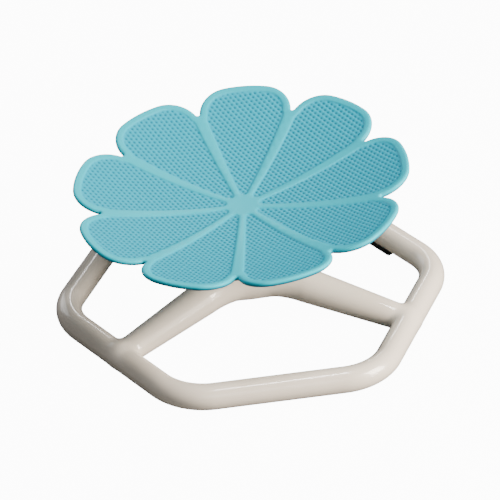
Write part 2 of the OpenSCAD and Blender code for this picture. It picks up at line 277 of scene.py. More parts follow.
def seatMaterial(settings):
    material, tree, fine = startMaterial("tealMoulding", settings)
    field, pit, rimShadeMask = (node(tree, "ShaderNodeAttribute", attribute_name=name).outputs["Fac"]
                        for name in ("fieldMask", "pitDepth", "rimPaintedShade"))
    body = mixColour(tree, field, (*settings["smooth"], 1), (*settings["field"], 1))
    # painted shade: the dimples are darkened where they are deepest, standing in for the shade inside them
    pitShadedColour = mixColour(tree, calc(tree, "MULTIPLY", pit, settings["pitPaintedShade"]), body, (*settings["pit"], 1))
    # painted shade: the rim is darkened towards its lower side, standing in for the shade that falls under
    # it
    rimShadedColour = mixColour(tree, rimShadeMask, pitShadedColour, (*settings["rim"], 1))
    finishMaterial(tree, fine, rimShadedColour, settings)
    return material


tealMoulding = seatMaterial({
    # painted shade: pit and pitPaintedShade darken the middles of the dimples
    "smooth": (0.0, 0.49, 0.63), "field": (0.0, 0.42, 0.59), "pit": (0.0, 0.10, 0.20), "pitPaintedShade": 0.85,
    # painted shade: rim is the colour that darkens the rim's lower side
    "rim": (0.0, 0.13, 0.24), "rubbed": (0.05, 0.55, 0.66), "wear": 0.25, "rough": 0.34, "spread": 0.08,
    "grain": 900.0, "bump": 0.08, "bumpDepth": 0.2, "shader": {"Specular IOR Level": 0.1}})
print("materials made")


seatShape = {
    "petals": 9, "turn": 18.6, "tip": 205.0, "shoulder": 38.0, "shoulderAt": 165.0,
    "notch": 171.3, "notchCurve": 2.5,
    "height": 93.5, "dish": 615.0, "edge": 4.0, "lip": 5.0, "skin": 4.5,
    "border": 9.5, "veinAtHub": 7.0, "veinAtNotch": 15.0, "middle": 19.5, "cornerSoft": 3.0,
    "fieldDepth": 0.9, "pitch": 6.2, "latticeTurn": -2.8, "pitRadius": 2.75, "pitStretch": 1.35,
    "pitDepth": 1.2, "finePerPitch": 5, "outlineStep": 2.0, "coarse": 6.0, "underCoarse": 11.0,
    "fieldMiddle": 118.0, "fieldReach": 112.0, "veinStart": 20.0, "veinRun": 150.0,
    "ribThick": 3.0, "ribRings": (30.0, 76.0, 122.0), "ribToTip": 201.5, "ribToNotch": 167.5,
    "ribBall": 500.0, "ribDrop": 13.0, "bossAt": 55.0, "bossDrop": 17.4,
}


def arcPoints(centre, radius, start, end, step, side):
    turn = (end - start + math.pi) % (2 * math.pi) - math.pi
    count = max(2, round(abs(turn) * radius / step))
    angles = start + turn * (np.arange(count) / count)
    ray = np.stack([np.cos(angles), np.sin(angles)], 1)
    return np.asarray(centre) + radius * ray, side * ray


def petalOutline(s, step):
    # one petal from notch to notch along +X, with outward normals
    half = math.pi / s["petals"]
    out = s["notch"] + s["notchCurve"]
    fx, fy = out * math.cos(half), out * math.sin(half)
    reach = s["shoulder"] + s["notchCurve"]
    sy = fy - math.sqrt(reach ** 2 - (fx - s["shoulderAt"]) ** 2)
    back = s["shoulderAt"] - s["tip"]
    tipCurve = (back ** 2 + sy ** 2 - s["shoulder"] ** 2) / (-2 * s["shoulder"] - 2 * back)
    tipAt = s["tip"] - tipCurve
    toShoulder = math.atan2(sy, s["shoulderAt"] - tipAt)
    toNotch = math.atan2(fy - sy, fx - s["shoulderAt"])
    pieces = [
        arcPoints((fx, -fy), s["notchCurve"], math.pi - half, math.pi - toNotch, step / 4, -1),
        arcPoints((s["shoulderAt"], -sy), s["shoulder"], -toNotch, -toShoulder, step, 1),
        arcPoints((tipAt, 0), tipCurve, -toShoulder, toShoulder, step, 1),
        arcPoints((s["shoulderAt"], sy), s["shoulder"], toShoulder, toNotch, step, 1),
        arcPoints((fx, fy), s["notchCurve"], math.pi + toNotch, math.pi + half, step / 4, -1),
    ]
    return np.concatenate([p[0] for p in pieces]), np.concatenate([p[1] for p in pieces])


def turned(points, angle):
    c, s = math.cos(angle), math.sin(angle)
    return points @ np.array([[c, s], [-s, c]])


def wholeOutline(s):
    points, normals = petalOutline(s, s["outlineStep"])
    angles = [math.radians(s["turn"]) + k * 2 * math.pi / s["petals"] for k in range(s["petals"])]
    return (np.concatenate([turned(points, a) for a in angles]),
            np.concatenate([turned(normals, a) for a in angles]))


def softMin(a, b, k):
    h = np.maximum(k - np.abs(a - b), 0)
    return np.minimum(a, b) - h * h / (4 * k)


def inPetal(s, points):
    # turns every point into the petal that runs along +X
    step = 2 * math.pi / s["petals"]
    angle = np.arctan2(points[:, 1], points[:, 0]) - math.radians(s["turn"])
    angle = (angle + step / 2) % step - step / 2
    r = np.hypot(points[:, 0], points[:, 1])
    return np.stack([r * np.cos(angle), r * np.sin(angle)], 1)


def rimGap(s, local):
    # distance in from the rim
    outline, normals = petalOutline(s, 0.7)
    gap = np.empty(len(local))
    for start in range(0, len(local), 4000):
        part = local[start:start + 4000]
        away = part[:, None, :] - outline[None]
        near = np.argmin((away ** 2).sum(2), 1)
        picked = away[np.arange(len(part)), near]
        gap[start:start + 4000] = -(picked * normals[near]).sum(1)
    return gap


def fieldGap(s, local):
    # how far inside its patterned field a point is
    half = math.pi / s["petals"]
    r = np.hypot(local[:, 0], local[:, 1])
    y = np.abs(local[:, 1])
    toVein = local[:, 0] * math.sin(half) - y * math.cos(half)
    share = np.clip((r - s["veinStart"]) / s["veinRun"], 0, 1.2)
    width = s["veinAtHub"] + (s["veinAtNotch"] - s["veinAtHub"]) * share
    sides = toVein - width / 2
    ends = softMin(rimGap(s, local) - s["border"], r - s["middle"], s["cornerSoft"] * 2)
    return softMin(sides, ends, s["cornerSoft"] * 2)


def fieldLoops(s, levels, spacing):
    # closed loops round each field at the given gaps
    angles = np.linspace(0, 2 * math.pi, 720, endpoint=False)
    ray = np.stack([np.cos(angles), np.sin(angles)], 1)
    centre = np.array([s["fieldMiddle"], 0.0])
    found = []
    for level in levels:
        low = np.zeros(len(angles))
        high = np.full(len(angles), s["fieldReach"])
        for _ in range(22):
            mid = (low + high) / 2
            inside = fieldGap(s, centre + ray * mid[:, None]) > level
            low = np.where(inside, mid, low)
            high = np.where(inside, high, mid)
        loop = centre + ray * low[:, None]
        closed = np.concatenate([loop, loop[:1]])
        run = np.concatenate([[0], np.cumsum(np.hypot(*np.diff(closed, axis=0).T))])
        count = int(run[-1] / spacing)
        at = np.linspace(0, run[-1], count, endpoint=False)
        found.append(np.stack([np.interp(at, run, closed[:, 0]), np.interp(at, run, closed[:, 1])], 1))
    one = np.concatenate(found)
    step = 2 * math.pi / s["petals"]
    return np.concatenate([turned(one, math.radians(s["turn"]) + k * step) for k in range(s["petals"])])


def hexPoints(spacing, angle, reach):
    count = int(reach / spacing) + 2
    rows = int(reach / (spacing * math.sqrt(0.75))) + 2
    i, j = np.meshgrid(np.arange(-2 * count, 2 * count + 1), np.arange(-rows, rows + 1))
    x = spacing * (i + 0.5 * (j % 2))
    y = spacing * math.sqrt(0.75) * j
    grid = np.stack([x.ravel(), y.ravel()], 1)
    grid = grid[np.hypot(grid[:, 0], grid[:, 1]) < reach]
    return turned(grid, angle)


def filled(boundary, inner):
    # triangles that fill the boundary loop and use the inner points
    count = len(boundary)
    edges = [(k, (k + 1) % count) for k in range(count)]
    points = [Vector(p) for p in np.concatenate([boundary, inner])]
    made = geometry.delaunay_2d_cdt(points, edges, [], 1, 1e-5)
    return np.array([tuple(p) for p in made[0]]), made[2]


def lift(points, height):
    return np.concatenate([points, np.full((len(points), 1), height)], 1)


def seatBlank(s):
    # the flat blank, with its rim and underside; the tree adds the dish and the pattern
    outline, normals = wholeOutline(s)
    count = len(outline)
    roll = [math.radians(a) for a in (90, 72, 56, 42, 28, 14, 0, -14, -28, -42, -56, -72, -90)]
    edge = s["edge"]
    loops = [(edge * (1 - math.cos(a)), edge * math.sin(a) - edge) for a in roll]
    loops.append((s["lip"], -2 * edge))
    loops.append((s["lip"] + 0.3, -2 * edge + 0.3))
    loops.append((s["lip"] + 0.6, -s["skin"] - 0.8))
    loops.append((s["lip"] + 1.6, -s["skin"]))
    ring = [lift(outline - normals * inset, height) for inset, height in loops]
    rim = np.concatenate(ring)
    faces = []
    for k in range(len(ring) - 1):
        for i in range(count):
            j = (i + 1) % count
            faces.append((k * count + i, (k + 1) * count + i, (k + 1) * count + j, k * count + j))
    top = outline - normals * edge
    fine = hexPoints(s["pitch"] / s["finePerPitch"], math.radians(s["latticeTurn"]), s["tip"])
    local = inPetal(s, fine)
    keep = fieldGap(s, local) > 1.2
    coarse = hexPoints(s["coarse"], 0.3, s["tip"])
    localCoarse = inPetal(s, coarse)
    plain = (fieldGap(s, localCoarse) < -1.8) & (rimGap(s, localCoarse) > edge + 2.0)
    loopsIn = fieldLoops(s, (-1.1, -0.5, 0.1, 0.6), 1.8)
    band = outline[::2] - normals[::2] * (edge + 1.6)
    upper = filled(top, np.concatenate([fine[keep], coarse[plain], loopsIn, band]))
    inner = outline - normals * (s["lip"] + 1.6)
    wide = hexPoints(s["underCoarse"], 0.0, s["tip"])
    lower = filled(inner, wide[rimGap(s, inPetal(s, wide)) > s["lip"] + 7])
    points, faces = joinMeshes([
        (rim, faces),
        (lift(upper[0], 0.0), upper[1]),
        (lift(lower[0], -s["skin"]), [tuple(reversed(f)) for f in lower[1]]),
    ])
    mesh = meshFrom("seatBlank", np.array(points) * mm, faces)
    tidyMesh(mesh, 2e-6, outward=False)
    flat = np.empty(len(mesh.vertices) * 3)
    mesh.vertices.foreach_get("co", flat)
    flat = flat.reshape(-1, 3) / mm
    gap = fieldGap(s, inPetal(s, flat[:, :2]))
    gap[flat[:, 2] < -0.01] = -20.0
    stored = mesh.attributes.new("fieldGap", "FLOAT", "POINT")
    stored.data.foreach_set("value", (gap * mm).astype(np.float32))
    return mesh


def ballRise(tree, radius, square):
    fall = calc(tree, "SQRT", calc(tree, "SUBTRACT", calc(tree, "MULTIPLY", radius, radius), square))
    return calc(tree, "SUBTRACT", radius, fall)


def ribTree():
    # a fan of upright ribs between the skin and a flatter ball below it
    size = "NodeSocketFloat"
    tree, given, result = newTree("ribFan", "GeometryNodeTree", [
        ("Count", "NodeSocketInt", 9), ("Turn", size, 0.0), ("Start", size, 0.03), ("Reach", size, 0.2),
        ("Thickness", size, 0.003), ("Dish Radius", size, 0.6), ("Skin", size, 0.004),
        ("Rib Radius", size, 0.5), ("Rib Drop", size, 0.013),
    ], [("Geometry", "NodeSocketGeometry")])
    bar = node(tree, "GeometryNodeMeshCube", {
        "Size": (1.0, 1.0, 1.0), "Vertices X": 22, "Vertices Y": 2, "Vertices Z": 2}).outputs["Mesh"]
    place = node(tree, "GeometryNodeInputPosition").outputs[0]
    split = node(tree, "ShaderNodeSeparateXYZ", {0: place}).outputs
    along = calc(tree, "ADD", split[0], 0.5)
    span = calc(tree, "SUBTRACT", given["Reach"], given["Start"])
    reach = calc(tree, "MULTIPLY_ADD", along, span, given["Start"])
    square = calc(tree, "MULTIPLY", reach, reach)
    top = calc(tree, "SUBTRACT", ballRise(tree, given["Dish Radius"], square), given["Skin"])
    low = calc(tree, "SUBTRACT", ballRise(tree, given["Rib Radius"], square), given["Rib Drop"])
    low = calc(tree, "MINIMUM", low, calc(tree, "SUBTRACT", top, 0.0002))
    upper = calc(tree, "GREATER_THAN", split[2], 0.0)
    height = node(tree, "ShaderNodeMix", {0: upper, 2: low, 3: top}).outputs[0]
    taper = calc(tree, "MULTIPLY_ADD", upper, 0.25, 0.75)
    wide = calc(tree, "MULTIPLY", calc(tree, "MULTIPLY", split[1], given["Thickness"]), taper)
    to = node(tree, "ShaderNodeCombineXYZ", {0: reach, 1: wide, 2: height}).outputs[0]
    rib = node(tree, "GeometryNodeSetPosition", {"Geometry": bar, "Position": to}).outputs[0]
    dots = node(tree, "GeometryNodePoints", {"Count": given["Count"]}).outputs[0]
    step = calc(tree, "DIVIDE", math.tau, given["Count"])
    angle = calc(tree, "MULTIPLY_ADD", node(tree, "GeometryNodeInputIndex").outputs[0], step, given["Turn"])
    spin = node(tree, "ShaderNodeCombineXYZ", {2: angle}).outputs[0]
    fan = node(tree, "GeometryNodeInstanceOnPoints", {"Points": dots, "Instance": rib, "Rotation": spin})
    put(tree, result["Geometry"], fan.outputs[0])
    return tree


def tubeRing(tree, radius, wide, low, high):
    circle = node(tree, "GeometryNodeCurvePrimitiveCircle", {"Resolution": 96, "Radius": radius})
    box = node(tree, "GeometryNodeCurvePrimitiveQuadrilateral", {"Width": wide, "Height": high - low})
    swept = node(tree, "GeometryNodeCurveToMesh", {
        "Curve": circle.outputs[0], "Profile Curve": box.outputs[0]}).outputs[0]
    return node(tree, "GeometryNodeTransform", {
        "Geometry": swept, "Translation": (0, 0, (low + high) / 2)}).outputs[0]


def underTree(tree, given, s):
    # ribs, rings and screw bosses below the skin
    fans = []
    ribs = ribTree()
    for turn, reach in ((0, s["ribToTip"]), (math.pi / s["petals"], s["ribToNotch"])):
        fan = node(tree, "GeometryNodeGroup", node_tree=ribs)
        for key in ("Dish Radius", "Rib Radius", "Rib Drop"):
            put(tree, fan.inputs[key], given[key])
        values = {
            "Count": s["petals"], "Turn": math.radians(s["turn"]) + turn, "Reach": reach * mm,
            "Start": s["ribRings"][0] * mm, "Thickness": s["ribThick"] * mm, "Skin": (s["skin"] - 1) * mm}
        for key, value in values.items():
            put(tree, fan.inputs[key], value)
        fans.append(fan.outputs[0])

    def dishAt(r, ball):
        return ball - math.sqrt(ball ** 2 - r ** 2)

    for r in s["ribRings"]:
        low = dishAt(r, s["ribBall"]) - s["ribDrop"]
        high = dishAt(r, s["dish"]) - s["skin"] + 1
        fans.append(tubeRing(tree, r * mm, s["ribThick"] * mm, low * mm, high * mm))
    high = dishAt(s["bossAt"], s["dish"]) - s["skin"] + 1
    boss = tubeRing(tree, 6 * mm, 4 * mm, -s["bossDrop"] * mm, high * mm)
    dots = node(tree, "GeometryNodePoints", {"Count": 6}).outputs[0]
    index = node(tree, "GeometryNodeInputIndex").outputs[0]
    angle = calc(tree, "MULTIPLY_ADD", index, math.pi / 3, math.radians(s["turn"]))
    spin = node(tree, "ShaderNodeCombineXYZ", {2: angle}).outputs[0]
    arm = node(tree, "GeometryNodeTransform", {
        "Geometry": boss, "Translation": (s["bossAt"] * mm, 0, 0)}).outputs[0]
    holder = node(tree, "GeometryNodeGeometryToInstance", {0: arm}).outputs[0]
    fans.append(node(tree, "GeometryNodeInstanceOnPoints", {
        "Points": dots, "Instance": holder, "Rotation": spin}).outputs[0])
    return fans


def seatTree(s):
    size = "NodeSocketFloat"
    tree, given, result = newTree("dishedSeat", "GeometryNodeTree", [
        ("Geometry", "NodeSocketGeometry", None),
        ("Dish Radius", size, 0.6), ("Field Depth", size, 0.001), ("Pitch", size, 0.006),
        ("Lattice Turn", size, 0.0), ("Pit Radius", size, 0.002), ("Pit Stretch", size, 1.2),
        ("Pit Depth", size, 0.001), ("Rib Radius", size, 0.5), ("Rib Drop", size, 0.013),
        ("Material", "NodeSocketMaterial", None),
    ], [("Geometry", "NodeSocketGeometry")])
    place = node(tree, "GeometryNodeInputPosition").outputs[0]
    plan = vec(tree, "MULTIPLY", place, (1.0, 1.0, 0.0))
    reach = vec(tree, "LENGTH", plan)
    rise = ballRise(tree, given["Dish Radius"], calc(tree, "MULTIPLY", reach, reach))
    gap = node(tree, "GeometryNodeInputNamedAttribute", {"Name": "fieldGap"}, data_type="FLOAT").outputs[0]
    sunk = ramp(tree, gap, -0.0008, 0.0008)
    fade = ramp(tree, gap, 0.0002, 0.0016)
    spun = node(tree, "ShaderNodeVectorRotate", {"Vector": plan, "Angle": given["Lattice Turn"]},
                rotation_type="Z_AXIS", invert=True).outputs[0]
    cell = node(tree, "ShaderNodeCombineXYZ", {
        "X": given["Pitch"], "Y": calc(tree, "MULTIPLY", given["Pitch"], math.sqrt(3)), "Z": 1.0}).outputs[0]
    halfCell = vec(tree, "SCALE", cell, scale=0.5)
    # pits are a little longer along their rows
    shrink = calc(tree, "DIVIDE", 1.0, given["Pit Stretch"])
    oval = node(tree, "ShaderNodeCombineXYZ", {"X": shrink, "Y": given["Pit Stretch"], "Z": 0.0}).outputs[0]
    dists = []
    for start in (vec(tree, "ADD", spun, halfCell), spun):
        cellAt = vec(tree, "SNAP", start, cell)
        local = vec(tree, "SUBTRACT", vec(tree, "SUBTRACT", start, cellAt), halfCell)
        dists.append(vec(tree, "LENGTH", vec(tree, "MULTIPLY", local, oval)))
    near = calc(tree, "MINIMUM", dists[0], dists[1])
    # pit depth, also used by the material to paint shade into the dimples
    pit = calc(tree, "MULTIPLY", ramp(tree, near, given["Pit Radius"], 0.0), fade)
    down = calc(tree, "ADD", calc(tree, "MULTIPLY", sunk, given["Field Depth"]),
                calc(tree, "MULTIPLY", pit, given["Pit Depth"]))
    offset = node(tree, "ShaderNodeCombineXYZ", {"Z": calc(tree, "SUBTRACT", rise, down)}).outputs[0]
    marked = given["Geometry"]
    # painted shade: a mask that darkens the rim towards its lower side, where shade falls
    rimShadeMask = ramp(tree, node(tree, "ShaderNodeSeparateXYZ", {0: place}).outputs[2], -0.0022, -0.0062)
    for label, value in (("fieldMask", sunk), ("pitDepth", pit), ("rimPaintedShade", rimShadeMask)):
        store = node(tree, "GeometryNodeStoreNamedAttribute", {
            "Geometry": marked, "Name": label, "Value": value}, data_type="FLOAT", domain="POINT")
        marked = store.outputs[0]
    moved = node(tree, "GeometryNodeSetPosition", {"Geometry": marked, "Offset": offset})
    joined = node(tree, "GeometryNodeJoinGeometry")
    rounded = node(tree, "GeometryNodeSetShadeSmooth", {"Geometry": moved.outputs[0]}).outputs[0]
    tree.links.new(rounded, joined.inputs[0])
    for part in underTree(tree, given, s):
        flat = node(tree, "GeometryNodeSetShadeSmooth", {"Geometry": part, "Shade Smooth": False}).outputs[0]
        tree.links.new(flat, joined.inputs[0])
    closeTree(tree, joined.outputs[0], given["Material"], result["Geometry"])
    return tree


def makeSeat(s):
    blank = addObject("seatBlank", seatBlank(s))
    seat = runTree(blank, seatTree(s), {
        "Rib Radius": s["ribBall"] * mm, "Rib Drop": s["ribDrop"] * mm,
        "Dish Radius": s["dish"] * mm, "Field Depth": s["fieldDepth"] * mm, "Pitch": s["pitch"] * mm,
        "Lattice Turn": math.radians(s["latticeTurn"]), "Pit Radius": s["pitRadius"] * mm,
        "Pit Stretch": s["pitStretch"], "Pit Depth": s["pitDepth"] * mm, "Material": tealMoulding,
    }, "seatTop")
    seat.data.transform(spindle @ Matrix.Translation((0, 0, s["height"] * mm)))
    seat.data.update()
    return seat


seatTop = makeSeat(seatShape)
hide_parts("seat_shell")
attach(seatTop, "seat")
print("seat made:", len(seatTop.data.polygons), "faces")


# ring, arms and hub are one welded and painted frame
weldedFrame = {
    "ring": 236.0, "tube": 16.0, "bend": 70.0, "ringHeight": 19.0, "meet": 56.0,
    "armHub": 21.5, "armEnd": 15.5, "armStart": 75.0, "armShort": 4.0, "webCurve": 98.0,
    "housing": 32.0, "housingTop": 64.0, "housingBottom": -22.0, "housingRound": 1.2,
    "weldSoft": 8.0, "hubSoft": 14.0, "cell": 2.2, "armAngles": (270, 30, 150),
    "bore": 26.0, "step": 22.0, "stepLow": 5.0, "stepHigh": 46.0, "spotFace": 33.0,
}


def frameField(w):
    # gives back the function that tells how far a point is from the painted surface
    side = w["ring"] * math.cos(math.pi / 6)
    sunk = w["meet"] - w["ringHeight"]
    armLength = math.hypot(side, sunk)
    middle = np.array([0.0, 0.0, w["meet"]])
    arms = []
    for degrees in w["armAngles"]:
        a = math.radians(degrees)
        arms.append(np.array([side * math.cos(a), side * math.sin(a), -sunk]) / armLength)
    axis = np.array(spindle.to_3x3().col[2])

    def ringPlan(x, y):
        apothem = side - w["bend"]
        corner = apothem / math.cos(math.pi / 6)
        angle = np.arctan2(y, x)
        sector = (angle % (math.pi / 3)) - math.pi / 6
        r = np.hypot(x, y)
        across = r * np.cos(sector) - apothem
        along = np.abs(r * np.sin(sector)) - corner / 2
        outside = np.hypot(np.maximum(across, 0), np.maximum(along, 0))
        return np.where(along > 0, outside, across) - w["bend"]

    def ring(p):
        return np.hypot(ringPlan(p[:, 0], p[:, 1]), p[:, 2] - w["ringHeight"]) - w["tube"]

    def arm(p, direction):
        rel = p - middle
        along = rel @ direction
        reach = np.clip(along, 0, armLength - w["armShort"])
        off = np.linalg.norm(rel - reach[:, None] * direction, axis=1)
        taper = np.clip((along - w["armStart"]) / (armLength - w["armStart"]), 0, 1)
        return off - (w["armHub"] + (w["armEnd"] - w["armHub"]) * taper)

    def web(p, first, second):
        between = first + second
        between /= np.linalg.norm(between)
        normal = np.cross(first, second)
        normal /= np.linalg.norm(normal)
        across = np.cross(normal, between)
        half = math.acos(float(first @ between))
        centre = (w["webCurve"] + w["armHub"]) / math.sin(half)
        radius = w["webCurve"] + w["armHub"]
        rel = p - middle
        x = rel @ between
        y = np.abs(rel @ across)
        height = rel @ normal
        along = x * math.cos(half) + y * math.sin(half)
        outer = np.maximum(radius - np.hypot(x - centre, y), 0)
        wedge = np.maximum(y * math.cos(half) - x * math.sin(half), 0)
        flat = np.where(along < 0, np.hypot(x, y), np.hypot(outer, wedge))
        solid = np.hypot(flat, height) - w["armHub"]
        return np.where(along < centre * math.cos(half), solid, 1e3)

    def housing(p):
        rel = p - middle
        along = rel @ axis
        off = np.linalg.norm(rel - along[:, None] * axis, axis=1) - w["housing"] + w["housingRound"]
        low = (w["housingTop"] + w["housingBottom"]) / 2
        tall = (w["housingTop"] - w["housingBottom"]) / 2 - w["housingRound"]
        high = np.abs(along - low) - tall
        outside = np.hypot(np.maximum(off, 0), np.maximum(high, 0))
        return outside + np.minimum(np.maximum(off, high), 0) - w["housingRound"]

    def field(p):
        body = arm(p, arms[0])
        for direction in arms[1:]:
            body = np.minimum(body, arm(p, direction))
        for k in range(3):
            body = np.minimum(body, web(p, arms[k], arms[(k + 1) % 3]))
        body = softMin(body, ring(p), w["weldSoft"])
        return softMin(body, housing(p), w["hubSoft"])

    return field


def slope(field, p, step=0.02):
    out = np.empty_like(p)
    for k in range(3):
        shift = np.zeros(3)
        shift[k] = step
        out[:, k] = (field(p + shift) - field(p - shift)) / (2 * step)
    return out


def skinOver(field, low, high, cell):
    # one vertex in each cell that the surface crosses, four to a face, then drawn onto the surface
    counts = [int(math.ceil((b - a) / cell)) + 1 for a, b in zip(low, high)]
    axes = [a + cell * np.arange(n) for a, n in zip(low, counts)]
    value = np.empty(counts)
    for k, z in enumerate(axes[2]):
        x, y = np.meshgrid(axes[0], axes[1], indexing="ij")
        flat = np.stack([x.ravel(), y.ravel(), np.full(x.size, z)], 1)
        value[:, :, k] = field(flat).reshape(x.shape)
    inside = value < 0
    corners = [(i, j, k) for i in (0, 1) for j in (0, 1) for k in (0, 1)]
    view = [inside[i:counts[0] - 1 + i, j:counts[1] - 1 + j, k:counts[2] - 1 + k] for i, j, k in corners]
    total = sum(v.astype(np.int8) for v in view)
    mixed = (total > 0) & (total < 8)
    index = np.full(mixed.shape, -1, dtype=np.int64)
    cells = np.argwhere(mixed)
    index[mixed] = np.arange(len(cells))
    points = np.array(low) + cell * (cells + 0.5)
    faces = []
    for axis in range(3):
        first, second = [k for k in range(3) if k != axis]
        a = inside.take(range(counts[axis] - 1), axis)
        b = inside.take(range(1, counts[axis]), axis)
        crossing = np.argwhere(a != b)
        ok = (crossing[:, first] > 0) & (crossing[:, second] > 0)
        ok &= (crossing[:, first] < counts[first] - 1) & (crossing[:, second] < counts[second] - 1)
        crossing = crossing[ok]
        leaving = a[tuple(crossing.T)]
        quad = []
        for df, ds in ((-1, -1), (0, -1), (0, 0), (-1, 0)):
            at = crossing.copy()
            at[:, first] += df
            at[:, second] += ds
            quad.append(index[tuple(at.T)])
        quad = np.stack(quad, 1)
        flip = leaving if axis != 1 else ~leaving
        quad[~flip] = quad[~flip][:, ::-1]
        faces.append(quad)
    faces = np.concatenate(faces)
    for _ in range(4):
        points = drawn(field, points)
        points = relaxed(points, faces)
    for _ in range(3):
        points = drawn(field, points)
    return points, faces


def drawn(field, points):
    away = field(points)
    lean = slope(field, points)
    size = np.maximum((lean ** 2).sum(1), 0.05)
    step = np.clip(away / size, -2.0, 2.0)
    return points - lean * step[:, None]


def relaxed(points, faces):
    total = np.zeros_like(points)
    weight = np.zeros(len(points))
    middle = points[faces].mean(1)
    for k in range(4):
        np.add.at(total, faces[:, k], middle)
        np.add.at(weight, faces[:, k], 1)
    return total / np.maximum(weight, 1)[:, None]


def lathe(profile, steps):
    # a line of (radius, height) turned about +Z, with both its ends on the axis
    count = len(profile)
    points = []
    for k in range(steps):
        a = 2 * math.pi * k / steps
        points.extend((r * math.cos(a), r * math.sin(a), z) for r, z in profile)
    faces = []
    for k in range(steps):
        n = (k + 1) % steps
        for i in range(count - 1):
            faces.append((k * count + i, n * count + i, n * count + i + 1, k * count + i + 1))
    return points, faces


def boreTool(w):
    # what the bearings' bores take away, as one solid plug
    low, high, bore, step = w["housingBottom"], w["housingTop"], w["bore"], w["step"]
    below, above = low - 26, high + 2
    face, mouth = w["spotFace"], bore + 1.2
    profile = [
        (0, below), (face + 3, below), (face, low), (bore + 1.4, low), (bore, low + 1.4),
        (bore, w["stepLow"]), (step, w["stepLow"]), (step, w["stepHigh"]), (bore, w["stepHigh"]),
        (bore, high - 1.2), (mouth, high), (mouth, above), (0, above),
    ]
    points, faces = lathe(profile, 96)
    mesh = meshFrom("boreTool", np.array(points) * mm, faces)
    tidyMesh(mesh, 1e-9)
    mesh.transform(spindle)
    return addObject("boreTool", mesh)


def makeFrame(w):
    field = frameField(w)
    reach = w["ring"] + w["tube"] + 4
    points, faces = skinOver(field, (-reach, -reach, -2.0), (reach, reach, 126.0), w["cell"])
    mesh = meshFrom("weldedFrame", points * mm, faces)
    tidyMesh(mesh, 1e-7)
    body = addObject("weldedFrame", mesh)
    tool = boreTool(w)
    cut = body.modifiers.new("bore", "BOOLEAN")
    cut.operation = "DIFFERENCE"
    cut.solver = "EXACT"
    cut.object = tool
    graph = bpy.context.evaluated_depsgraph_get()
    done = bpy.data.meshes.new_from_object(body.evaluated_get(graph))
    bpy.data.objects.remove(tool)
    bpy.data.objects.remove(body)
    done.name = "weldedFrame"
    done.materials.clear()
    done.materials.append(creamPaint)
    done.polygons.foreach_set("use_smooth", [True] * len(done.polygons))
    done.polygons.foreach_set("material_index", [0] * len(done.polygons))
    done.set_sharp_from_angle(angle=math.radians(38))
    return addObject("weldedFrame", done)


frameBody = makeFrame(weldedFrame)
sides = ("front", "front_right", "rear_right", "rear", "rear_left", "front_left")
bends = ("right", "rear_right", "rear_left", "left", "front_left", "front_right")
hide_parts(*["rail_" + s for s in sides], *["bend_" + s for s in bends],
            "arm_front", "arm_right", "arm_left", "hub_casting")
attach(frameBody, "base_frame")
print("frame made:", len(frameBody.data.polygons), "faces")


footPad = {
    "long": 76.0, "inner": 191.4, "outer": 207.4, "tall": 11.5, "round": 2.4,
    "grooveStep": 6.0, "grooveDepth": 0.7, "pocket": 3.9, "pocketDeep": 2.5,
    "screwAt": 25.0, "screwLine": 202.38,
}


